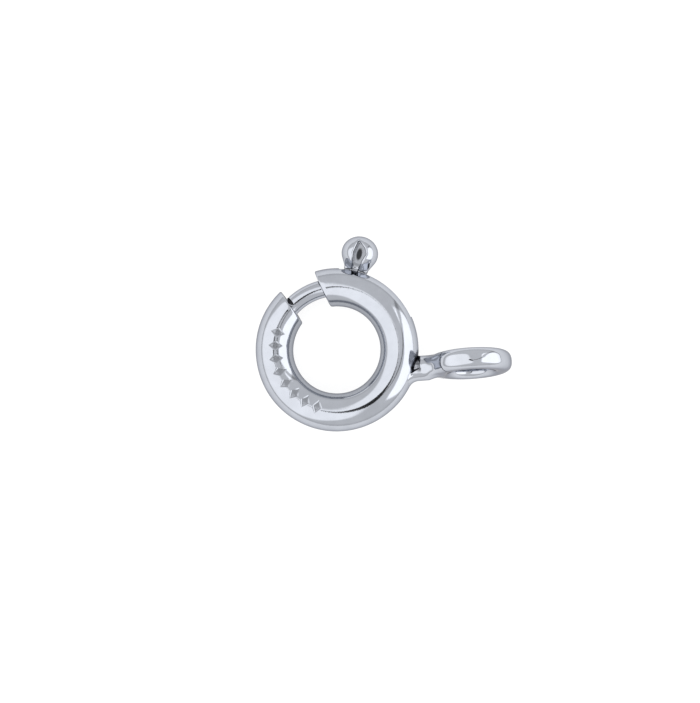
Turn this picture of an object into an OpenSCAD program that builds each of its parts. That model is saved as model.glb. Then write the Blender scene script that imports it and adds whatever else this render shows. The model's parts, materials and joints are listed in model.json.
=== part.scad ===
// Spring ring clasp, lying on a surface as it rests by itself. Millimetres, +Z up.
// The clasp is drawn flat about the centre of its round case, and lie_down() then sets it on the surface:
// it rests on the far side of the case and on the edge of the end ring.
// Angles are seen from above, counter-clockwise from the side of the end ring.

/* [Case] */
// Diameter across the round case
case_od = 6.0; // [5.6:0.1:6.6]
// Diameter of the tube that the case is bent from
tube_d = 1.4; // [1.36:0.02:1.44]
// Thickness of the tube's wall
wall = 0.2; // [0.17:0.01:0.22]

/* [Mouth] */
// Direction of the middle of the mouth
mouth_at = 120; // [119:1:122]
// Share of the turn that the mouth takes at the tube's centre line
mouth_span = 33; // [31:1:34]
// Lean of each cut face, so that the mouth widens outwards
mouth_lean = 5; // [0:1:8]

/* [Tongue] */
// Diameter of the sliding tongue
tongue_d = 0.66; // [0.6:0.02:0.7]
// How far the tongue turns back to open the mouth
travel = 41; // [37:1:42]
// How far the tongue reaches past the mouth when it is shut
reach_past = 8; // [6:1:9]

/* [Trigger] */
// Direction of the trigger when the mouth is shut
trigger_at = 76.7; // [76:0.1:77.4]
// Diameter of the trigger's hollow ball
ball_d = 1.32; // [1.2:0.02:1.34]
// Thickness of the ball's wall
ball_wall = 0.17; // [0.14:0.01:0.2]

/* [End ring] */
// Outer diameter of the end ring
eye_od = 3.0; // [2.8:0.05:3.2]
// Diameter of the end ring's wire
eye_wire_d = 0.78; // [0.74:0.01:0.82]
// Distance of the end ring's centre from the centre of the case, along X
eye_x = 4.92; // [4.85:0.01:5]
// Distance of the end ring's centre from the centre of the case, along Y
eye_y = -0.5; // [-0.56:0.01:-0.44]
// Lean of the end ring's neck
eye_lean = 3.8; // [2:0.1:5]
// Twist of the end ring about its neck
eye_twist = 7.2; // [0:0.1:9]

/* [Hidden] */
$fn = 96;

// How far a cut runs past what it cuts
past = 0.5;
// Gap between two pieces that are fixed together
fit_gap = 0.01;

// Case
tube_r = tube_d / 2;
bore_r = tube_r - wall;
case_r = case_od / 2 - tube_r;

// Tongue: a rod with a rounded tip, and a thicker guide at its tail that fills the tube
tongue_r = tongue_d / 2;
tip_step = 0.005;
tip_r = tongue_r - tip_step;
tip_len = 0.14;
tip_root = 0.06;
tip_round = 0.1;
tip_turn = atan(tip_len / case_r);
tongue_front = mouth_at + mouth_span / 2 + reach_past - tip_turn;
guide_gap = 0.04;
guide_r = bore_r - guide_gap;
guide_front = trigger_at + 12;
guide_back = trigger_at - 13;

// Trigger: a hollow ball on a flat shank, with a rivet into the tongue's guide
ball_r = ball_d / 2;
ball_lift = 0.04;
trigger_r = case_r + tube_r + ball_r + ball_lift;
shank_w = 0.84;
shank_t = 0.34;
shank_foot = case_r + 0.3;
rivet_r = 0.12;
rivet_len = 0.24;
// Opening in the ball's front: a row for each corner, outwards from the case and across to the mouth
opening_outline = [
    [0.33, 0.12],
    [-0.06, -0.25],
    [-0.8, -0.05],
    [-0.8, 0.08],
    [0, 0.18]
];

// Slot in the outer wall that the shank runs along
slot_slack = 0.05;
slot_h = shank_t + 2 * slot_slack;
slot_side = asin((shank_w / 2 + slot_slack) / case_r);
slot_front = trigger_at + slot_side;
slot_back = trigger_at - travel - slot_side;

// End ring: a round wire bent to an eye that stands across the case, open at one cut
eye_wire_r = eye_wire_d / 2;
eye_r = eye_od / 2 - eye_wire_r;
eye_land = 0.035;
eye_hole_r = eye_r - eye_wire_r + eye_land;
eye_cut_at = 43;
eye_cut_w = 0.035;
neck_base_r = 0.45;
neck_top_r = 0.385;
neck_len = 1.1;
seat_gap = 0.015;
// The peg goes through the tube's outer wall and ends inside the bore
peg_r = 0.3;
peg_past_middle = 0.33;
peg_reach = eye_x - case_r + peg_past_middle;

// Spring: a coil along the tube, between the tongue's guide and the end ring's peg
coil_gap = 0.085;
coil_wire_r = 0.045;
coil_r = bore_r - coil_gap - coil_wire_r;
coil_turns = 10;
coil_front = guide_back - 1.6;
coil_back = -5.5;
coil_sides = 6;
coil_steps = 12;

// How the clasp lies: rolled to where its weight balances, and tilted until the case and the end
// ring both touch the surface. up_from() gives the surface's upward direction, seen from the clasp.
lie_roll = -1.9;
eye_centre = [eye_x, eye_y, 0];
eye_axis = [sin(eye_lean) * cos(eye_twist), -cos(eye_lean) * cos(eye_twist), sin(eye_twist)];

function up_from(tilt) = [sin(tilt), cos(tilt) * sin(lie_roll), cos(tilt) * cos(lie_roll)];

function case_height(tilt) = tube_r + case_r * norm([up_from(tilt).x, up_from(tilt).y]);

function eye_height(tilt) = eye_wire_r + eye_r * sqrt(1 - pow(eye_axis * up_from(tilt), 2));

function eye_clearance(tilt) = case_height(tilt) + eye_centre * up_from(tilt) - eye_height(tilt);

function settle(low, high, steps) =
    let (middle = (low + high) / 2)
    steps == 0 ? middle
    : eye_clearance(middle) > 0 ? settle(low, middle, steps - 1)
    : settle(middle, high, steps - 1);

lie_tilt = settle(0, 30, 24);
low_x = -(case_r * cos(lie_tilt) + tube_r);
high_x = eye_x * cos(lie_tilt) + eye_r + eye_wire_r;
low_y = -(case_r + tube_r);
high_y = trigger_r * sin(trigger_at) + ball_r;

module lie_down() {
    translate([-(low_x + high_x) / 2, -(low_y + high_y) / 2, case_height(lie_tilt)])
        rotate([0, -lie_tilt, 0])
            rotate([lie_roll, 0, 0])
                children();
}

// A round rod bent about the centre of the case, from one direction to another
module arc_rod(r, from, to) {
    rotate([0, 0, from])
        rotate_extrude(angle = to - from)
            translate([case_r, 0])
                circle(r);
}

// The wedge of metal that the mouth leaves out
module mouth() {
    half = case_r * sin(mouth_span / 2);
    inner = case_r - tube_r - past;
    outer = case_r + tube_r + past;
    middle = case_r * cos(mouth_span / 2);
    half_in = half - (middle - inner) * tan(mouth_lean);
    half_out = half + (outer - middle) * tan(mouth_lean);
    rotate([0, 0, mouth_at])
        linear_extrude(2 * tube_d, center = true)
            polygon([[inner, -half_in], [outer, -half_out], [outer, half_out], [inner, half_in]]);
}

// Slot through the outer wall only, its inner side a chord that stays inside the bore
module trigger_slot() {
    inner = case_r + tongue_r / 2;
    outer = case_r + 2 * tube_r;
    linear_extrude(slot_h, center = true)
        polygon([
            [inner * cos(slot_back), inner * sin(slot_back)],
            [outer * cos(slot_back), outer * sin(slot_back)],
            [outer * cos(slot_front), outer * sin(slot_front)],
            [inner * cos(slot_front), inner * sin(slot_front)]
        ]);
}

// Along the end ring's neck: the origin at the eye's centre, +X towards the case
module along_neck() {
    translate(eye_centre)
        rotate([0, 0, 180 + eye_lean])
            rotate([eye_twist, 0, 0])
                children();
}

module case_tube() {
    color([0.72, 0.73, 0.76])
        lie_down()
            difference() {
                rotate_extrude()
                    translate([case_r, 0])
                        difference() {
                            circle(tube_r);
                            circle(bore_r);
                        }
                mouth();
                trigger_slot();
                along_neck()
                    rotate([0, 90, 0])
                        translate([0, 0, eye_r])
                            cylinder(r = peg_r + fit_gap, h = peg_reach - eye_r + fit_gap);
            }
}

// Straight tip with a rounded edge, pointing along +Z, its root inside the rod
module tongue_tip() {
    rotate_extrude()
        union() {
            translate([0, -tip_root])
                square([tip_r, tip_root + tip_len - tip_round]);
            square([tip_r - tip_round, tip_len]);
            translate([tip_r - tip_round, tip_len - tip_round])
                intersection() {
                    circle(tip_round);
                    square(tip_round);
                }
        }
}

module tongue() {
    color([0.68, 0.69, 0.73])
        lie_down()
            difference() {
                union() {
                    arc_rod(tongue_r, guide_front - 1, tongue_front);
                    arc_rod(guide_r, guide_back, guide_front);
                    rotate([0, 0, tongue_front])
                        translate([case_r, 0, 0])
                            rotate([-90, 0, 0])
                                tongue_tip();
                }
                rotate([0, 0, trigger_at]) {
                    translate([shank_foot, -shank_w / 2, -shank_t / 2] - fit_gap * [1, 1, 1])
                        cube([guide_r, shank_w + 2 * fit_gap, shank_t + 2 * fit_gap]);
                    translate([shank_foot - rivet_len - fit_gap, 0, 0])
                        rotate([0, 90, 0])
                            cylinder(r = rivet_r + fit_gap, h = rivet_len + past);
                }
            }
}

module trigger() {
    color([0.74, 0.75, 0.78])
        lie_down()
            rotate([0, 0, trigger_at])
                union() {
                    translate([trigger_r, 0, 0])
                        difference() {
                            sphere(ball_r);
                            sphere(ball_r - ball_wall);
                            linear_extrude(ball_r + past)
                                polygon(opening_outline);
                        }
                    translate([shank_foot, -shank_w / 2, -shank_t / 2])
                        cube([trigger_r - ball_r + ball_wall - shank_foot, shank_w, shank_t]);
                    translate([shank_foot - rivet_len, 0, 0])
                        rotate([0, 90, 0])
                            cylinder(r = rivet_r, h = rivet_len + ball_wall);
                }
}

// A point on the coil's wire: turn along the arc, then round the tube, then round the wire
function coil_point(share, side) =
    let (
        at = coil_back + (coil_front - coil_back) * share,
        round_tube = 360 * coil_turns * share,
        round_wire = 360 * side / coil_sides,
        from_centre = coil_r + coil_wire_r * cos(round_wire),
        out = case_r + from_centre * cos(round_tube),
        lag = asin(coil_wire_r * sin(round_wire) / case_r)
    )
    [out * cos(at + lag), out * sin(at + lag), from_centre * sin(round_tube)];

module spring() {
    rings = coil_turns * coil_steps;
    points = [for (i = [0:rings], k = [0:coil_sides - 1]) coil_point(i / rings, k)];
    walls = [
        for (i = [0:rings - 1], k = [0:coil_sides - 1])
            let (next = (k + 1) % coil_sides, here = i * coil_sides, there = here + coil_sides)
            each [[here + k, there + next, there + k], [here + k, here + next, there + next]]
    ];
    caps = [
        [for (k = [0:coil_sides - 1]) coil_sides - 1 - k],
        [for (k = [0:coil_sides - 1]) rings * coil_sides + k]
    ];
    color([0.6, 0.6, 0.62])
        lie_down()
            polyhedron(points, concat(walls, caps));
}

module end_ring() {
    color([0.72, 0.73, 0.76])
        lie_down()
            difference() {
                union() {
                    along_neck()
                        rotate([90, 0, 0])
                            rotate_extrude()
                                translate([eye_r, 0])
                                    circle(eye_wire_r);
                    // Neck, its foot shaped to the tube with a small gap
                    difference() {
                        along_neck()
                            rotate([0, 90, 0])
                                translate([0, 0, eye_r])
                                    cylinder(r1 = neck_top_r, r2 = neck_base_r, h = neck_len);
                        rotate_extrude()
                            translate([case_r, 0])
                                circle(tube_r + seat_gap);
                    }
                    along_neck()
                        rotate([0, 90, 0])
                            translate([0, 0, eye_r])
                                cylinder(r = peg_r, h = peg_reach - eye_r);
                }
                // The eye's reamed hole
                along_neck()
                    rotate([90, 0, 0])
                        cylinder(r = eye_hole_r, h = eye_od, center = true);
                // The cut where the eye can be opened
                along_neck()
                    rotate([0, -eye_cut_at, 0])
                        translate([eye_hole_r / 2, -eye_wire_d, -eye_cut_w / 2])
                            cube([eye_od, 2 * eye_wire_d, eye_cut_w]);
            }
}

case_tube();
tongue();
trigger();
spring();
end_ring();
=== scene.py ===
"""Looks of the spring ring clasp: white metal, lying on a white table under soft studio light.

Shapes are worked out in millimetres about the centre of the round case, flat, with +Z along the case's
axis and angles counter-clockwise from the side of the end ring. lay() then sets them where the clasp lies.
"""

import json
import math

import bmesh
import bpy
import numpy as np
from mathutils import Matrix, Vector


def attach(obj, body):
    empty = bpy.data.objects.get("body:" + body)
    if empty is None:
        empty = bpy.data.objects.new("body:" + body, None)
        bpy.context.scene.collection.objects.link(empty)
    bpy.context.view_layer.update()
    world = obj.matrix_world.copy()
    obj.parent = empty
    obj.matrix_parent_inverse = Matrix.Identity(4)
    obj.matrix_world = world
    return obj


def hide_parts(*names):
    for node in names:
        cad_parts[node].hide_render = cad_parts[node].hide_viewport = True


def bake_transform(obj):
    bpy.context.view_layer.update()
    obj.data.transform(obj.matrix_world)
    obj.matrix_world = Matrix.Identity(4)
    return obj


MM = 0.001

# Case: a tube bent to a ring. MOUTH_ and CALM_ values are degrees round the ring, FINE_ ones round the tube
TUBE_R = 0.7
BORE_R = 0.5
CASE_R = 2.3
MOUTH_AT = 120.0
MOUTH_HALF = 16.5
MOUTH_LEAN = 5.0
MOUTH_FADE = 20.0
RIM_ROUND = 0.065
RIM_ROUND_INSIDE = 0.04
RIM_BEHIND = 4.5
SWELL = 0.01
SWELL_LONG = 3.2
CALM_AT = -12.0
CALM_HALF = 24.0
CALM_FADE = 16.0
FINE_FROM = 64.0
FINE_TO = 134.0
FINE_STEP = 0.36
PLAIN_STEP = 1.5
BORE_STEP = 2.0

# Marks: a row of lozenges punched into the case
MARK_COUNT = 8
MARK_FIRST = 164.0
MARK_STEP = 12.6
MARK_ROW_R = 2.21
MARK_W = 0.15
MARK_H = 0.24
MARK_WALL = 0.05
MARK_DEEP = 0.028
MARK_SKIN_FROM = 34.0

# Trigger: a hollow ball on a flat shank
TRIGGER_AT = 76.7
TRAVEL = 41.0
BALL_R = 0.66
BALL_WALL = 0.17
BALL_SQUASH = (0.625, 0.675, 0.65)
BALL_AT = 3.645
BALL_CLEAR = 0.035
BALL_FLOOR = 0.08
TRIGGER_R = CASE_R + TUBE_R + BALL_R + 0.04
SHANK_W = 0.84
SHANK_T = 0.34
SHANK_FOOT = CASE_R + 0.3
SHANK_TOP = BALL_AT - 0.35
SHANK_EDGE = 0.06
FOOT_FILLET = 0.22
OPENING = [
    (0.34, 0.1), (0.12, -0.16), (-0.06, -0.25), (-0.3, -0.16), (-0.75, -0.04), (-0.75, 0.1), (-0.1, 0.19),
]
OPENING_GROW = 0.01
OPENING_BACK = 0.1
OPENING_ROUND = 0.12
# Where and how wide the painted shade spot lies at the bottom of the ball's hollow
HOLLOW_SHADE_AT = (BALL_AT - 0.04, 0.01)
HOLLOW_SHADE_REACH = (0.27, 0.12)

# Tongue: a round rod with a thicker guide at its tail and a notch worn in front of the mouth; the notch is
# also painted dark as shade
TONGUE_R = 0.33
TONGUE_FRONT = MOUTH_AT + MOUTH_HALF + 8.0
TIP_ROUND = 0.1
GUIDE_R = 0.46
GUIDE_FRONT = TRIGGER_AT + 12.0
GUIDE_BACK = TRIGGER_AT - 13.0
GUIDE_CHAMFER = 0.04
SHANK_FIT = 0.01
WEAR_SHADE_AT = 134.4
WEAR_SHADE_HALF = 1.8
WEAR_SHADE_SIDE = 55.0
WEAR_SHADE_SPAN = 44.0
WEAR_DEEP = 0.04

# Slot
SLOT_HALF = SHANK_T / 2 + 0.05
SLOT_SIDE = math.degrees(math.asin((SHANK_W / 2 + 0.05) / CASE_R))
SLOT_WIDE = math.degrees(math.asin(SLOT_HALF / TUBE_R))
SLOT_BEVEL = 0.018

# End ring: an open eye of squared wire on a neck that is soldered to the case
EYE_WIRE_R = 0.39
EYE_R = 1.11
EYE_HOLE_R = 0.755
EYE_CENTRE = (4.92, -0.5, 0.0)
EYE_LEAN = 3.8
EYE_TWIST = 7.2
EYE_CUT_AT = 43.0
EYE_CUT_W = 0.035
WIRE_SQUARE = 2.5
NECK_THIN = 0.35
NECK_WIDENS = 0.11
NECK_SAG = 0.06
NECK_FOOT_Y = -0.37
NECK_END = 1.875
NECK_FILLET = 0.22
WEB_THICK = 0.34
WEB_SLOPE = 0.75
WEB_TIP = 1.85
WEB_END = 1.75
SOLDER_SINK = 0.003
SOLDER_THIN = 0.04
SOLDER_SPREAD = 0.2
SOLDER_SKIN = 0.03
PIT_LONG = 0.28
PEG_R = 0.3
PEG_REACH = 2.95

# Spring
COIL_R = 0.37
COIL_WIRE_R = 0.045
COIL_TURNS = 10
COIL_BACK = -5.5
COIL_FRONT = GUIDE_BACK - 1.6

# Painted shade, face by face, where shade falls in hollows, recesses, crevices and the ring's inside: 0 none,
# 1 painted dark and dull
PAINTED_SHADE_MARKS = 0.4
PAINTED_SHADE_JOINT = 0.8
PAINTED_SHADE_SLOT = 0.8
PAINTED_SHADE_RING_INSIDE = 0.22
PAINTED_SHADE_HOLLOW = 0.36
PAINTED_SHADE_SHANK = 0.5
PAINTED_SHADE_COLOUR = 0.09
PAINTED_SHADE_ROUGHNESS = 0.3

# Light and camera. The sky's dark spot is where the camera stands, the seam the edge between two screens
SPOT = (-0.071, -0.07)
SPOT_REACH = (0.18, 0.066)
SPOT_TURN = -58.0
CAMERA_LEAN = (-0.045, -0.012)
LENS_LONG = 150.0
SENSOR = 36.0
PHOTO_W = 700
PHOTO_H = 703
PX_PER_MM = 27.23
CENTRE_PX = (336.9, 349.8)
TABLE_HALF = 0.4

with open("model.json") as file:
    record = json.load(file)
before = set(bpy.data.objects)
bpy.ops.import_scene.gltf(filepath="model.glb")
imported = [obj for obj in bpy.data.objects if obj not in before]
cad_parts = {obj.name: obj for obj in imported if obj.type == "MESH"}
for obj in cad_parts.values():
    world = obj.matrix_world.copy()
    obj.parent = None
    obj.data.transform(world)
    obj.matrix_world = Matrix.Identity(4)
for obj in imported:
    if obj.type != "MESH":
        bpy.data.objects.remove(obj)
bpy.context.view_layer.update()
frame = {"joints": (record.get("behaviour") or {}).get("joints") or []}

# The joint turns about the case's axis, so it gives the place and lean of the whole clasp
slide = frame["joints"][0]
case_centre = Vector(slide["pos_m"])
case_axis = -Vector(slide["axis"]).normalized()
case_x = Vector((0, 1, 0)).cross(case_axis).normalized()
case_y = case_axis.cross(case_x)

eye_turn = np.array(
    Matrix.Rotation(math.radians(180 + EYE_LEAN), 3, "Z") @ Matrix.Rotation(math.radians(EYE_TWIST), 3, "X")
)
saw_turn = np.array(Matrix.Rotation(math.radians(-EYE_CUT_AT), 3, "Y"))
trigger_turn = np.array(Matrix.Rotation(math.radians(TRIGGER_AT), 3, "Z"))


def lay(points):
    """Flat millimetre points to their place on the table, in metres."""
    axes = np.array([case_x, case_y, case_axis])
    return np.asarray(points, float) @ axes * MM + np.array(case_centre)


def unlay(piece):
    """The middles of a piece's faces as flat millimetre points."""
    middles = np.empty(len(piece.data.polygons) * 3)
    piece.data.polygons.foreach_get("center", middles)
    axes = np.array([case_x, case_y, case_axis])
    return (middles.reshape(-1, 3) - np.array(case_centre)) / MM @ axes.T


def along_neck(points):
    """Points about the end ring's centre, +X towards the case and +Y along its hole, to flat ones."""
    return np.asarray(points, float) @ eye_turn.T + np.array(EYE_CENTRE)


def at_trigger(points):
    """Points with +X outwards along the trigger's direction, to flat ones."""
    return np.asarray(points, float) @ trigger_turn.T


def make_piece(name, points, faces):
    """A mesh object from flat millimetre points."""
    mesh = bpy.data.meshes.new(name)
    mesh.from_pydata(lay(points).tolist(), [], [list(map(int, face)) for face in faces])
    mesh.validate()
    piece = bpy.data.objects.new(name, mesh)
    bpy.context.scene.collection.objects.link(piece)
    return piece


def soften(piece, sharp=32.0):
    """Faces outwards, smooth shading, and hard edges where the surface turns by more than the limit."""
    bm = bmesh.new()
    bm.from_mesh(piece.data)
    bmesh.ops.recalc_face_normals(bm, faces=bm.faces)
    for face in bm.faces:
        face.smooth = True
    for edge in bm.edges:
        edge.smooth = edge.is_manifold and edge.calc_face_angle(0) < math.radians(sharp)
    bm.to_mesh(piece.data)
    bm.free()
    return piece


def cut_away(piece, points, faces):
    """Takes a closed solid out of a piece."""
    tool = make_piece("cutter", points, faces)
    soften(tool)
    cut = piece.modifiers.new("cut", "BOOLEAN")
    cut.operation = "DIFFERENCE"
    cut.solver = "EXACT"
    cut.object = tool
    depsgraph = bpy.context.evaluated_depsgraph_get()
    mesh = bpy.data.meshes.new_from_object(piece.evaluated_get(depsgraph))
    old = piece.data
    piece.modifiers.remove(cut)
    piece.data = mesh
    mesh.name = piece.name
    bpy.data.meshes.remove(old)
    bpy.data.meshes.remove(tool.data)
    return piece


def paint_shade(piece, share):
    """Keeps, face by face, the painted shade: 0 none, 1 painted dark and dull where shade falls."""
    bare = piece.data.attributes.new("bare", "FLOAT", "FACE")
    bare.data.foreach_set("value", np.asarray(share, float))
    return piece


def box_solid(low, high):
    """Corners and faces of a box."""
    corners = [(x, y, z) for x in (low[0], high[0]) for y in (low[1], high[1]) for z in (low[2], high[2])]
    faces = [(0, 1, 3, 2), (4, 6, 7, 5), (0, 4, 5, 1), (2, 3, 7, 6), (0, 2, 6, 4), (1, 5, 7, 3)]
    return np.array(corners, float), faces


def rings_to_tube(rings, closed=False):
    """Points and faces of a tube through rings of points: capped at both ends, or closed on itself."""
    rings = np.asarray(rings, float)
    count, sides = rings.shape[:2]
    faces = []
    for i in range(count if closed else count - 1):
        here, there = i * sides, (i + 1) % count * sides
        for k in range(sides):
            after = (k + 1) % sides
            faces.append((here + k, here + after, there + after, there + k))
    if not closed:
        faces.append(tuple(range(sides - 1, -1, -1)))
        faces.append(tuple(range((count - 1) * sides, count * sides)))
    return rings.reshape(-1, 3), faces


def smooth_step(x):
    """0 below 0, 1 above 1 and a smooth rise between."""
    x = np.clip(x, 0, 1)
    return x * x * (3 - 2 * x)


def merge(a, b, width):
    """Smooth union of two distance fields, with a fillet of about the width."""
    share = np.clip(0.5 + 0.5 * (b - a) / width, 0, 1)
    return b + (a - b) * share - width * share * (1 - share)


def keep_both(a, b, width):
    """Smooth intersection of two distance fields."""
    return -merge(-a, -b, width)


def polygon_distance(x, y, corners):
    """Signed distance to a polygon, negative inside."""
    nearest = np.full(x.shape, 1e9)
    inside = np.zeros(x.shape, bool)
    for (ax, ay), (bx, by) in zip(corners, corners[1:] + corners[:1]):
        ex, ey = bx - ax, by - ay
        share = np.clip(((x - ax) * ex + (y - ay) * ey) / (ex * ex + ey * ey), 0, 1)
        nearest = np.minimum(nearest, np.hypot(x - ax - ex * share, y - ay - ey * share))
        crosses = (ay > y) != (by > y)
        inside ^= crosses & (x < ex * (y - ay) / (by - ay if by != ay else 1) + ax)
    return np.where(inside, -nearest, nearest)


def waviness(points, size, seed):
    """A soft uneven swell over the surface, between about -1 and 1."""
    random = np.random.default_rng(seed)
    total = np.zeros(len(points))
    for _ in range(10):
        wave = random.normal(size=3)
        wave *= random.uniform(0.7, 1.5) / np.linalg.norm(wave)
        total += np.sin(points @ wave * 2 * math.pi / size + random.uniform(0, 2 * math.pi))
    return total / 4


def tube_depth(flat):
    """Distance from the middle line of the case's tube."""
    return np.hypot(np.hypot(flat[:, 0], flat[:, 1]) - CASE_R, flat[:, 2])


def skin(field, low, high, cell):
    """Closed quad mesh of the surface where a distance field is zero, its points set on that surface."""
    low = np.asarray(low, float)
    size = np.ceil((np.asarray(high, float) - low) / cell).astype(int) + 1
    axes = [low[i] + cell * np.arange(size[i]) for i in range(3)]
    value = field(*np.meshgrid(*axes, indexing="ij"))
    inside = value < 0
    cells = size - 1
    total = np.zeros((*cells, 3))
    count = np.zeros(cells)
    crossings = []
    for axis in range(3):
        one = [slice(None)] * 3
        two = [slice(None)] * 3
        one[axis], two[axis] = slice(0, -1), slice(1, None)
        a, b = value[tuple(one)], value[tuple(two)]
        cross = inside[tuple(one)] != inside[tuple(two)]
        crossings.append(cross)
        where = np.argwhere(cross)
        point = where.astype(float)
        point[:, axis] += a[cross] / (a[cross] - b[cross])
        others = [i for i in range(3) if i != axis]
        for shift_a in (0, -1):
            for shift_b in (0, -1):
                home = where.copy()
                home[:, others[0]] += shift_a
                home[:, others[1]] += shift_b
                good = np.all((home >= 0) & (home < cells), axis=1)
                spot = tuple(home[good].T)
                np.add.at(total, spot, point[good])
                np.add.at(count, spot, 1)
    used = count > 0
    number = np.full(cells, -1)
    number[used] = np.arange(used.sum())
    points = total[used] / count[used][:, None] * cell + low
    faces = []
    for axis in range(3):
        where = np.argwhere(crossings[axis])
        others = [i for i in range(3) if i != axis]
        where = where[np.all([(where[:, o] > 0) & (where[:, o] < cells[o]) for o in others], axis=0)]
        corner = []
        for shift_a, shift_b in ((0, 0), (-1, 0), (-1, -1), (0, -1)):
            home = where.copy()
            home[:, others[0]] += shift_a
            home[:, others[1]] += shift_b
            corner.append(number[tuple(home.T)])
        quads = np.stack(corner, axis=1)
        flip = inside[tuple(where.T)] == (axis == 1)
        quads[flip] = quads[flip][:, ::-1]
        faces.extend(quads.tolist())
    step = cell * 0.02
    for _ in range(4):
        here = field(*points.T)
        slope = np.stack([
            (field(*(points + step * d).T) - field(*(points - step * d).T)) / (2 * step) for d in np.eye(3)
        ], axis=1)
        points -= slope * (here / np.maximum((slope ** 2).sum(1), 0.2))[:, None]
    return points, faces


def half_mouth(radius):
    """Angle from the middle of the mouth to its cut face, at a distance from the case's axis."""
    lean = math.radians(MOUTH_LEAN)
    half = math.radians(MOUTH_HALF)
    return np.degrees(lean + np.arcsin(CASE_R * math.sin(half - lean) / radius))


def marks_depth(angle, radius):
    """Share of the marks' full depth at a place on the case."""
    depth = np.zeros(np.broadcast(angle, radius).shape)
    across = radius - MARK_ROW_R
    slant = MARK_W * MARK_H / math.hypot(MARK_W, MARK_H)
    for k in range(MARK_COUNT):
        along = np.radians(angle - MARK_FIRST - k * MARK_STEP) * MARK_ROW_R
        edge = (np.abs(along) / MARK_W + np.abs(across) / MARK_H - 1) * slant
        depth = np.maximum(depth, 1 - smooth_step(edge / MARK_WALL + 0.5))
    return depth


def slot_ends():
    """Where the slot starts and ends, in degrees from the middle of the mouth."""
    start = (TRIGGER_AT - TRAVEL - SLOT_SIDE - MOUTH_AT) % 360
    end = (TRIGGER_AT + SLOT_SIDE - MOUTH_AT) % 360
    return start, end


def skin_rows(plain, fine):
    """Angles along the case, from the middle of the mouth, of the rows of points on one of its skins."""
    first, last = MOUTH_HALF + RIM_BEHIND, 360 - MOUTH_HALF - RIM_BEHIND
    marks_end = MARK_FIRST + MARK_COUNT * MARK_STEP - MOUTH_AT
    slot_from, slot_to = slot_ends()
    stops = [
        (first, MARK_SKIN_FROM, plain),
        (MARK_SKIN_FROM, marks_end, fine),
        (marks_end, slot_from, plain),
        (slot_from, slot_to, plain),
        (slot_to, last, plain),
    ]
    turns = [np.linspace(a, b, max(2, round((b - a) / step) + 1))[:-1] for a, b, step in stops]
    return np.append(np.concatenate(turns), last)


def case_profile():
    """Rows of the whole case, out along its skin and back through its bore: turn, inset, distance out."""
    first, last = MOUTH_HALF, 360 - MOUTH_HALF
    arc = np.radians(np.linspace(0, 90, 7))
    inside = RIM_ROUND_INSIDE
    rim = [(RIM_ROUND * (1 - math.sin(a)), TUBE_R - RIM_ROUND * (1 - math.cos(a))) for a in arc]
    rim += [(inside * (1 - math.cos(a)), BORE_R + inside * (1 - math.sin(a))) for a in arc]
    profile = [(first, d, rho) for d, rho in reversed(rim)]
    profile += [(t, 0, TUBE_R) for t in skin_rows(PLAIN_STEP, FINE_STEP)]
    profile += [(last, d, rho) for d, rho in rim]
    profile += [(t, 0, BORE_R) for t in skin_rows(BORE_STEP, BORE_STEP)[::-1]]
    return (np.array(column)[:, None] for column in zip(*profile))


def open_slot(piece):
    """Joins the edges of the slot in the outer skin to those in the bore, and eases their corners."""
    bm = bmesh.new()
    bm.from_mesh(piece.data)
    loose = [v for v in bm.verts if not v.link_faces]
    bmesh.ops.delete(bm, geom=loose, context="VERTS")
    open_edges = [e for e in bm.edges if e.is_boundary]
    bmesh.ops.bridge_loops(bm, edges=open_edges)
    bmesh.ops.recalc_face_normals(bm, faces=bm.faces)
    corner = [e for e in open_edges if e.is_valid]
    bmesh.ops.bevel(bm, geom=corner, offset=SLOT_BEVEL * MM, segments=3, profile=0.5, affect="EDGES")
    bm.to_mesh(piece.data)
    bm.free()


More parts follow.
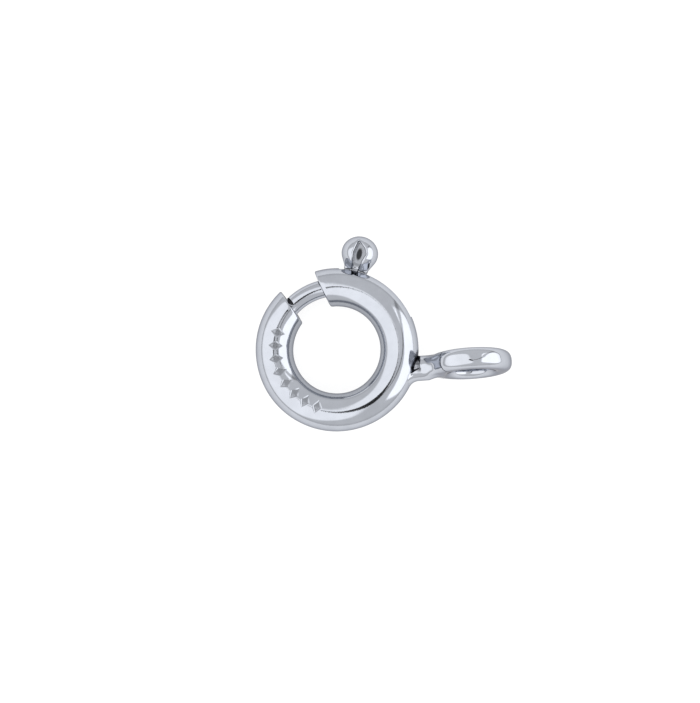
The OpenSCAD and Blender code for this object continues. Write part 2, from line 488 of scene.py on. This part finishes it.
def make_case():
    """The bent tube: outer skin with its marks, rounded rims, cut faces, bore and slot."""
    columns = np.concatenate([
        np.linspace(-SLOT_WIDE, SLOT_WIDE, 13)[:-1],
        np.linspace(SLOT_WIDE, FINE_FROM, 14)[:-1],
        np.linspace(FINE_FROM, FINE_TO, 62)[:-1],
        np.linspace(FINE_TO, 360 - SLOT_WIDE, 52)[:-1],
    ])
    turn, inset, rho = case_profile()
    edge = np.degrees(np.arcsin(SLOT_HALF / rho))
    column = columns[None, :]
    stretched = edge + (column - SLOT_WIDE) * (180 - edge) / (180 - SLOT_WIDE)
    section = np.where(np.abs(column) <= SLOT_WIDE + 1e-6, column * edge / SLOT_WIDE, stretched)
    up = np.sin(np.radians(section))
    radius = CASE_R + rho * np.cos(np.radians(section))
    pushed = half_mouth(radius) - MOUTH_HALF + np.degrees(inset / radius)
    near_first = np.clip(1 - (turn - MOUTH_HALF) / MOUTH_FADE, 0, 1) ** 2
    near_last = np.clip(1 - (360 - MOUTH_HALF - turn) / MOUTH_FADE, 0, 1) ** 2
    angle = MOUTH_AT + turn + pushed * near_first - pushed * near_last
    east, north = np.cos(np.radians(angle)), np.sin(np.radians(angle))

    marked = (rho >= TUBE_R - 1e-9) & (inset == 0) & (up > 0.2)
    depth = np.where(marked, MARK_DEEP * marks_depth(angle % 360, radius), 0)
    place = np.stack([CASE_R * east, CASE_R * north, TUBE_R * up], axis=-1).reshape(-1, 3)
    swell = waviness(place, SWELL_LONG, 5).reshape(section.shape)
    swell = swell * np.clip((rho - BORE_R) / (TUBE_R - BORE_R), 0, 1)
    from_neck = np.abs((angle - CALM_AT + 180) % 360 - 180)
    level = rho - depth + SWELL * swell * smooth_step((from_neck - CALM_HALF) / CALM_FADE)
    reach = CASE_R + level * np.cos(np.radians(section))
    flat, faces = rings_to_tube(np.stack([reach * east, reach * north, level * up], axis=-1), closed=True)

    sides, turns = len(columns), turn[:, 0]
    slot_from, slot_to = slot_ends()
    slot_columns = [k for k in range(sides - 1) if abs(columns[k] + columns[k + 1]) < 2 * SLOT_WIDE]
    on_skin = (inset[:, 0] == 0) & np.roll(inset[:, 0] == 0, -1)
    middles = (turns + np.roll(turns, -1)) / 2
    slot_rows = np.flatnonzero(on_skin & (middles > slot_from) & (middles < slot_to))
    in_slot = {i * sides + k for i in slot_rows for k in slot_columns}
    piece = make_piece("case", flat, [face for i, face in enumerate(faces) if i not in in_slot])
    open_slot(piece)
    soften(piece)
    return paint_shade(piece, case_painted_shade(unlay(piece)))


def case_painted_shade(flat):
    """Painted shade on the case, dark and dull: the bore, the marks' recesses, the joint by the neck, the
    slot's walls and the ring's inside.
    """
    depth = tube_depth(flat)
    out = np.hypot(flat[:, 0], flat[:, 1])
    bore = smooth_step((BORE_R + RIM_ROUND_INSIDE + 0.02 - depth) / 0.03)
    turns = np.degrees(np.arctan2(flat[:, 1], flat[:, 0])) % 360
    marks = (flat[:, 2] > 0) & (depth > TUBE_R - 2 * MARK_DEEP)
    to_neck = np.hypot(flat[:, 1] - NECK_FOOT_Y, flat[:, 2]) / 0.4
    joint = (flat[:, 0] > CASE_R) * (1 - smooth_step((to_neck - 0.85) / 0.3))
    walls = (depth < TUBE_R - 0.03) & (out > CASE_R + 0.3) & (np.abs(flat[:, 2]) < SLOT_HALF + 0.03)
    ring_inside = smooth_step(((CASE_R - out) / TUBE_R - 0.66) / 0.12)
    return np.maximum.reduce([
        bore,
        PAINTED_SHADE_MARKS * marks * marks_depth(turns, out),
        PAINTED_SHADE_JOINT * joint,
        PAINTED_SHADE_SLOT * walls,
        PAINTED_SHADE_RING_INSIDE * ring_inside,
    ])


def wear_and_shade(turn, around):
    """Where the mouth's edge has worn a notch in the bolt, which is also painted dark as shade: 1 inside, 0
    outside.
    """
    off = np.hypot((turn - WEAR_SHADE_AT) / WEAR_SHADE_HALF, (around - WEAR_SHADE_SIDE) / WEAR_SHADE_SPAN)
    return 1 - smooth_step((off - 0.7) / 0.3)


def make_tongue():
    """The bolt: a rod with a rounded tip, and the thicker guide with the notch that holds the shank."""
    sides = 72
    around = np.radians(np.arange(sides) * 360 / sides)
    tip = math.degrees(TIP_ROUND / CASE_R)
    profile = [(GUIDE_BACK, GUIDE_R - GUIDE_CHAMFER)]
    profile += [(t, GUIDE_R) for t in np.linspace(GUIDE_BACK + 1, GUIDE_FRONT - 1, 16)]
    profile += [(GUIDE_FRONT, GUIDE_R - GUIDE_CHAMFER), (GUIDE_FRONT, TONGUE_R)]
    profile += [(t, TONGUE_R) for t in np.linspace(GUIDE_FRONT + 1, WEAR_SHADE_AT - 3, 35)]
    profile += [(t, TONGUE_R) for t in np.linspace(WEAR_SHADE_AT - 2.75, WEAR_SHADE_AT + 2.75, 23)]
    profile += [(t, TONGUE_R) for t in np.linspace(WEAR_SHADE_AT + 3, TONGUE_FRONT - tip, 6)]
    for a in np.radians(np.linspace(15, 90, 6)):
        profile.append((TONGUE_FRONT - tip + tip * math.sin(a), TONGUE_R - TIP_ROUND * (1 - math.cos(a))))
    rings = []
    for turn, rho in profile:
        rho = rho - WEAR_DEEP * wear_and_shade(turn, np.degrees(around))
        reach = CASE_R + rho * np.cos(around)
        a = math.radians(turn)
        rings.append(np.stack([reach * math.cos(a), reach * math.sin(a), rho * np.sin(around)], axis=-1))
    piece = soften(make_piece("tongue_bolt", *rings_to_tube(rings)))
    notch, faces = box_solid(
        (SHANK_FOOT - SHANK_FIT, -SHANK_W / 2 - SHANK_FIT, -SHANK_T / 2 - SHANK_FIT),
        (SHANK_FOOT + GUIDE_R, SHANK_W / 2 + SHANK_FIT, SHANK_T / 2 + SHANK_FIT),
    )
    cut_away(piece, at_trigger(notch), faces)
    soften(piece)
    flat = unlay(piece)
    turns = np.degrees(np.arctan2(flat[:, 1], flat[:, 0]))
    around = np.degrees(np.arctan2(flat[:, 2], np.hypot(flat[:, 0], flat[:, 1]) - CASE_R))
    # Painted shade: the tail inside the case and the notch in front of the mouth are painted dark
    return paint_shade(piece, np.maximum(turns < GUIDE_FRONT + 3, wear_and_shade(turns % 360, around)))


def ball_distance(x, y, z):
    """About the distance to the skin of the squashed ball, from points seen from the trigger."""
    a, b, c = BALL_SQUASH
    x = x - BALL_AT
    level = np.sqrt((x / a) ** 2 + (y / b) ** 2 + (z / c) ** 2)
    slope = np.sqrt((x / a ** 2) ** 2 + (y / b ** 2) ** 2 + (z / c ** 2) ** 2)
    return level * (level - 1) / np.maximum(slope, 0.3)


def shank_distance(x, y, z):
    """Distance to the shank, a flat bar with rounded edges."""
    dx = np.abs(x - (SHANK_FOOT + SHANK_TOP) / 2) - (SHANK_TOP - SHANK_FOOT) / 2 + SHANK_EDGE
    dy = np.abs(y) - SHANK_W / 2 + SHANK_EDGE
    dz = np.abs(z) - SHANK_T / 2 + SHANK_EDGE
    outside = np.sqrt(np.maximum(dx, 0) ** 2 + np.maximum(dy, 0) ** 2 + np.maximum(dz, 0) ** 2)
    return outside + np.minimum(np.maximum(np.maximum(dx, dy), dz), 0) - SHANK_EDGE


def trigger_field(x, y, z):
    """Distance field of the trigger: the hollow ball with its opening, and the shank that carries it."""
    ball = ball_distance(x, y, z)
    shank = shank_distance(x, y, z)
    tube = np.hypot(np.hypot(x, y) - CASE_R, z) - TUBE_R
    foot_fill = np.maximum(merge(ball, shank, FOOT_FILLET), BALL_CLEAR - tube)
    solid = merge(foot_fill, shank, 0.03)
    hollow = keep_both(ball + BALL_WALL, BALL_FLOOR - z, 0.12)
    opening = polygon_distance(x - TRIGGER_R, y, OPENING) - OPENING_GROW
    opening = keep_both(opening, OPENING_BACK - z, 0.05)
    solid = keep_both(solid, -hollow, 0.03)
    return keep_both(solid, -opening, OPENING_ROUND)


def make_trigger():
    """The trigger, skinned from its distance field."""
    reach = BALL_R + 0.08
    low = (SHANK_FOOT - 0.05, -reach, -reach)
    high = (TRIGGER_R + reach, reach, reach)
    points, faces = skin(trigger_field, low, high, 0.017)
    piece = soften(make_piece("trigger_ball", at_trigger(points), faces), 50)
    x, y, z = (unlay(piece) @ trigger_turn).T
    # Painted shade: the inside of the hollow ball is painted dark, darker still in a spot at its bottom, and
    # so is the shank where it sits in the slot
    in_hollow = smooth_step((0.05 - ball_distance(x, y, z) - BALL_WALL) / 0.04)
    off_x = (x - HOLLOW_SHADE_AT[0]) / HOLLOW_SHADE_REACH[0]
    off_y = (y - HOLLOW_SHADE_AT[1]) / HOLLOW_SHADE_REACH[1]
    off = np.hypot(off_x, off_y)
    bottom = (1 - smooth_step((off - 0.6) / 0.4)) * (z < BALL_FLOOR + 0.15)
    in_shank = (np.abs(z) < SHANK_T / 2 + 0.005) & (x < CASE_R + TUBE_R + 0.06)
    hollow_painted_shade = in_hollow * (PAINTED_SHADE_HOLLOW + (1 - PAINTED_SHADE_HOLLOW) * bottom)
    return paint_shade(piece, np.maximum(hollow_painted_shade, PAINTED_SHADE_SHANK * in_shank))


def case_distance(x, y, z):
    """Distance to the case's outer skin, from points seen from the end ring."""
    flat = along_neck(np.stack([np.ravel(x), np.ravel(y), np.ravel(z)], axis=1))
    return (tube_depth(flat) - TUBE_R).reshape(np.shape(x))


def joint_pits(x, y, z):
    """A rough pattern for the solder at the foot of the neck, between about -1 and 1."""
    points = np.stack([np.ravel(x), np.ravel(y), np.ravel(z)], axis=1)
    return waviness(points, PIT_LONG, 3).reshape(np.shape(x))


def end_ring_field(x, y, z):
    """Distance field of the end ring: eye, flat-ended neck, the web between them, solder and peg."""
    side = np.abs(np.hypot(x, z) - EYE_R) ** WIRE_SQUARE + np.abs(y) ** WIRE_SQUARE
    eye = side ** (1 / WIRE_SQUARE) - EYE_WIRE_R
    widening = smooth_step((x - EYE_R) / 0.5)
    sag = NECK_SAG * widening
    neck_r = NECK_THIN + NECK_WIDENS * widening
    end = NECK_END + 0.02 * joint_pits(x, y, z)
    end = end + 0.4 * smooth_step((0.15 - z) / 0.25) + 0.3 * smooth_step((y - 0.1) / 0.2)
    neck = np.maximum(keep_both(np.hypot(y - sag, z) - neck_r, x - end, 0.05), EYE_R - x)
    web = np.hypot(y - sag, np.maximum(np.abs(z) - WEB_SLOPE * (WEB_TIP - x), 0)) - WEB_THICK
    web = np.maximum(web, np.maximum(x - WEB_END, EYE_R - x))
    body = merge(merge(eye, neck, NECK_FILLET), web, 0.1)
    tube = case_distance(x, y, z) + SOLDER_SINK
    filled = merge(body, tube, SOLDER_THIN + SOLDER_SPREAD * smooth_step((y - 0.15) / 0.3))
    body = np.maximum(filled, np.maximum(filled - tube + SOLDER_SINK, -SOLDER_SKIN - tube))
    body = keep_both(body, EYE_HOLE_R - np.hypot(x, z), 0.05)
    peg = np.maximum(np.hypot(y, z) - PEG_R, np.maximum(EYE_R - x, x - PEG_REACH))
    return np.minimum(body, peg)


def make_end_ring():
    """The end ring, skinned from its distance field and then sawn open."""
    side = EYE_R + EYE_WIRE_R + 0.06
    points, faces = skin(end_ring_field, (-side, -0.95, -side), (PEG_REACH + 0.06, 0.95, side), 0.021)
    piece = soften(make_piece("end_ring_eye", along_neck(points), faces), 50)
    half = EYE_CUT_W / 2
    saw, faces = box_solid((EYE_HOLE_R / 2, -0.8, -half), (EYE_R + 0.8, 0.8, half))
    cut_away(piece, along_neck(saw @ saw_turn.T), faces)
    soften(piece, 50)
    own = (unlay(piece) - np.array(EYE_CENTRE)) @ eye_turn
    ahead, _, beside = (own @ saw_turn).T
    x, y, z = own.T
    # Painted shade: the saw cut is painted dark, and so is the foot of the neck where it meets the case,
    # broken up by the solder's rough pattern
    in_cut = (np.abs(beside) < half + 0.002) & (ahead > 0)
    at_joint = smooth_step((x - NECK_END + 0.07) / 0.05) * smooth_step((0.32 - y) / 0.1)
    at_joint *= 0.55 + 0.45 * np.clip(joint_pits(x, y, z) * 2, -1, 1)
    return paint_shade(piece, np.maximum(in_cut, at_joint))


def coil_centre(share):
    """A point on the middle of the spring's wire, and the direction out of the coil there."""
    a = math.radians(COIL_BACK + (COIL_FRONT - COIL_BACK) * share)
    turn = 2 * math.pi * COIL_TURNS * share
    out = np.array([math.cos(turn) * math.cos(a), math.cos(turn) * math.sin(a), math.sin(turn)])
    middle = np.array([CASE_R * math.cos(a), CASE_R * math.sin(a), 0.0])
    return middle + COIL_R * out, out


def make_spring():
    """The coil: a round wire swept along its helix."""
    sides, steps = 12, 26 * COIL_TURNS
    around = np.radians(np.arange(sides) * 360 / sides)
    rings = []
    for i in range(steps + 1):
        share = i / steps
        centre, out = coil_centre(share)
        ahead = coil_centre(share + 0.0005)[0] - coil_centre(share - 0.0005)[0]
        ahead /= np.linalg.norm(ahead)
        side = np.cross(ahead, out)
        rings.append([centre + COIL_WIRE_R * (math.cos(a) * out + math.sin(a) * side) for a in around])
    piece = soften(make_piece("spring_coil", *rings_to_tube(rings)))
    return paint_shade(piece, np.zeros(len(piece.data.polygons)))


class Value:
    """A number inside a node tree, so that shader maths reads as plain arithmetic."""

    def __init__(self, tree, socket):
        self.tree = tree
        self.socket = socket

    def _with(self, operation, first, second):
        made = self.tree.node("ShaderNodeMath", {"operation": operation}, {0: first, 1: second})
        return Value(self.tree, made.outputs[0])

    def __add__(self, other):
        return self._with("ADD", self, other)

    def __radd__(self, other):
        return self._with("ADD", other, self)

    def __sub__(self, other):
        return self._with("SUBTRACT", self, other)

    def __rsub__(self, other):
        return self._with("SUBTRACT", other, self)

    def __mul__(self, other):
        return self._with("MULTIPLY", self, other)

    def __rmul__(self, other):
        return self._with("MULTIPLY", other, self)

    def __truediv__(self, other):
        return self._with("DIVIDE", self, other)

    def __pow__(self, other):
        return self._with("POWER", self, other)

    def at_least(self, other):
        return self._with("MAXIMUM", self, other)

    def absolute(self):
        return self._with("ABSOLUTE", self, 0)


class Tree:
    """The node tree of a material or of the world."""

    def __init__(self, owner):
        owner.use_nodes = True
        self.nodes = owner.node_tree.nodes
        self.links = owner.node_tree.links
        self.nodes.clear()

    def node(self, kind, settings=None, sockets=None):
        """A node of a type, with its settings first and then its sockets' values or links."""
        made = self.nodes.new(kind)
        for name, value in (settings or {}).items():
            setattr(made, name, value)
        for name, value in (sockets or {}).items():
            socket = made.inputs[name]
            value = value.socket if isinstance(value, Value) else value
            if isinstance(value, bpy.types.NodeSocket):
                self.links.new(value, socket)
            else:
                socket.default_value = value
        return made

    def value(self, kind, output, settings=None, sockets=None):
        """The number that a node gives."""
        return Value(self, self.node(kind, settings, sockets).outputs[output])

    def rise(self, value, low, high):
        """0 below low, 1 above high and a smooth rise between."""
        return self.value(
            "ShaderNodeMapRange", 0,
            {"interpolation_type": "SMOOTHSTEP"},
            {"Value": value, "From Min": low, "From Max": high},
        )

    def noise(self, place, scale, detail, roughness):
        """Soft noise at a scale, in turns a metre."""
        return self.value(
            "ShaderNodeTexNoise", 0, None,
            {"Vector": place, "Scale": scale, "Detail": detail, "Roughness": roughness},
        )

    def blend(self, share, first, second):
        """The colour between two, by the share of the second."""
        made = self.node("ShaderNodeMix", {"data_type": "RGBA"}, {0: share, 6: first, 7: second})
        return made.outputs[2]


def white_metal(name, colour, roughness, grain):
    """Polished white metal: a soft cloudy polish, fine grain, and painted shade that darkens and dulls the
    faces marked as shaded.
    """
    tree = Tree(bpy.data.materials.new(name))
    place = tree.node("ShaderNodeTexCoord").outputs["Object"]
    bare = tree.value("ShaderNodeAttribute", "Fac", {"attribute_name": "bare"})
    cloud = tree.noise(place, 1400.0, 3.0, 0.6)
    fine = tree.noise(place, 16000.0, 4.0, 0.65)
    shade = tree.blend(tree.rise(cloud, 0.3, 0.75), (*[c * 0.92 for c in colour], 1), (*colour, 1))
    # Painted shade: shaded faces are darkened to a small share of the metal's colour
    shade = tree.blend(bare, shade, (*[c * PAINTED_SHADE_COLOUR for c in colour], 1))
    polish = roughness + 0.07 * tree.rise(cloud, 0.5, 0.85) + 0.03 * (fine - 0.5) + PAINTED_SHADE_ROUGHNESS * bare
    bump = tree.node("ShaderNodeBump", None, {"Strength": grain, "Distance": 4e-6, "Height": fine})
    metal = tree.node("ShaderNodeBsdfPrincipled", None, {
        "Base Color": shade,
        "Metallic": 1.0,
        "Roughness": polish,
        "Specular Tint": (0.42, 0.42, 0.44, 1),
        "Normal": bump.outputs[0],
    })
    tree.node("ShaderNodeOutputMaterial", None, {"Surface": metal.outputs[0]})
    return bpy.data.materials[name]


def dress(piece, finish, body, node):
    """Gives a piece its finish, hides the solid it stands for and hangs it on the body it rides on, if any.
    """
    piece.data.materials.clear()
    piece.data.materials.append(finish)
    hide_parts(node)
    if body:
        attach(piece, body)
    return piece


polished = white_metal("polished white metal", (0.51, 0.533, 0.585), 0.06, 0.2)
drawn = white_metal("drawn white metal", (0.5, 0.522, 0.575), 0.08, 0.3)
bright = white_metal("bright white metal", (0.525, 0.547, 0.597), 0.05, 0.15)
wire = white_metal("spring wire", (0.3, 0.31, 0.33), 0.3, 0.4)

dress(make_case(), polished, "case", "case_tube")
dress(make_tongue(), drawn, "bolt", "tongue")
dress(make_trigger(), bright, "bolt", "trigger")
dress(make_end_ring(), bright, "case", "end_ring")
spring = dress(make_spring(), wire, None, "spring")
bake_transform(spring)


def make_table():
    """The white table."""
    low, high = -TABLE_HALF, TABLE_HALF
    mesh = bpy.data.meshes.new("table")
    mesh.from_pydata([(low, low, 0), (high, low, 0), (high, high, 0), (low, high, 0)], [], [(0, 1, 2, 3)])
    table = bpy.data.objects.new("table", mesh)
    bpy.context.scene.collection.objects.link(table)
    tree = Tree(bpy.data.materials.new("white table"))
    white = tree.node("ShaderNodeBsdfPrincipled", None, {
        "Base Color": (0.3, 0.3, 0.3, 1),
        "Roughness": 0.9,
        "Specular IOR Level": 0.0,
        "Emission Color": (1, 1, 1, 1),
        "Emission Strength": 0.8,
    })
    tree.node("ShaderNodeOutputMaterial", None, {"Surface": white.outputs[0]})
    mesh.materials.append(bpy.data.materials["white table"])


def make_light():
    """Soft boxes and grey studio walls, painted round the sky by direction."""
    world = bpy.data.worlds.new("studio")
    bpy.context.scene.world = world
    tree = Tree(world)
    aim = tree.node("ShaderNodeTexCoord").outputs["Generated"]
    part = tree.node("ShaderNodeSeparateXYZ", None, {0: aim})
    x, y, z = (Value(tree, part.outputs[i]) for i in range(3))

    def soft_box(azimuth, elevation, wide, tall, soft):
        """1 inside a rounded patch of the sky, 0 outside it. All but the softness is in degrees."""
        a, e = math.radians(azimuth), math.radians(elevation)
        ahead = (math.cos(e) * math.cos(a), math.cos(e) * math.sin(a), math.sin(e))
        side = (-math.sin(a), math.cos(a), 0)
        rise = (-math.sin(e) * math.cos(a), -math.sin(e) * math.sin(a), math.cos(e))
        facing, across, up = (x * v[0] + y * v[1] + z * v[2] for v in (ahead, side, rise))
        facing = facing.at_least(0.001)
        across = across / facing / math.tan(math.radians(wide))
        up = up / facing / math.tan(math.radians(tall))
        return 1 - tree.rise((across ** 4 + up ** 4) ** 0.25, 1 - soft, 1 + soft)

    right = soft_box(-1, 33, 36, 31, 0.08)
    left = soft_box(196, 47, 45, 39, 0.13)
    overhead = tree.rise(z, 0, 0.1)

    turn = math.radians(SPOT_TURN)
    off_x, off_y = x - SPOT[0], y - SPOT[1]
    long = (off_x * math.cos(turn) + off_y * math.sin(turn)) / SPOT_REACH[0]
    short = (off_y * math.cos(turn) - off_x * math.sin(turn)) / SPOT_REACH[1]
    spot = (1 - tree.rise(long ** 2 + short ** 2, 0.85, 1.15)) * overhead

    along = x - 0.1
    off_seam = (y + 0.06 - 0.55 * along - 0.9 * along * along).absolute()
    off_seam = off_seam / (0.025 + 0.05 * tree.rise(x, 0.3, 0.6))
    seam = (1 - tree.rise(off_seam, 1, 2)) * tree.rise(x, 0.0, 0.08)
    seam = seam * (1 - 0.25 * tree.rise(x, 0.3, 0.5)) * (1 - tree.rise(x, 0.7, 0.8)) * overhead

    walls = 0.72 + 0.15 * tree.rise(z, 0.0, 0.35)
    glow = (walls + 1.05 * right + 0.66 * left) * (1 - 0.97 * spot) * (1 - 0.7 * seam)
    sky = tree.node("ShaderNodeBackground", None, {"Color": (1, 1, 1, 1), "Strength": glow})
    tree.node("ShaderNodeOutputWorld", None, {"Surface": sky.outputs[0]})


def make_camera():
    """A long lens almost straight above, framed as the photograph."""
    back = Vector((*CAMERA_LEAN, 1)).normalized()
    up = (Vector((0, 1, 0)) - back * back.y).normalized()
    right = up.cross(back)
    across = (PHOTO_W / 2 - CENTRE_PX[0]) / PX_PER_MM * MM
    down = (PHOTO_H / 2 - CENTRE_PX[1]) / PX_PER_MM * MM
    aim = case_centre + right * across - up * down
    distance = PHOTO_H / PX_PER_MM * MM * LENS_LONG / SENSOR
    data = bpy.data.cameras.new("camera")
    data.lens, data.sensor_width = LENS_LONG, SENSOR
    data.clip_start, data.clip_end = 0.005, 5
    camera = bpy.data.objects.new("camera", data)
    turned = Matrix((right, up, back)).transposed().to_4x4()
    camera.matrix_world = Matrix.Translation(aim + back * distance) @ turned
    bpy.context.scene.collection.objects.link(camera)
    bpy.context.scene.camera = camera


make_table()
make_light()
make_camera()
bpy.context.scene.view_settings.view_transform = "Standard"
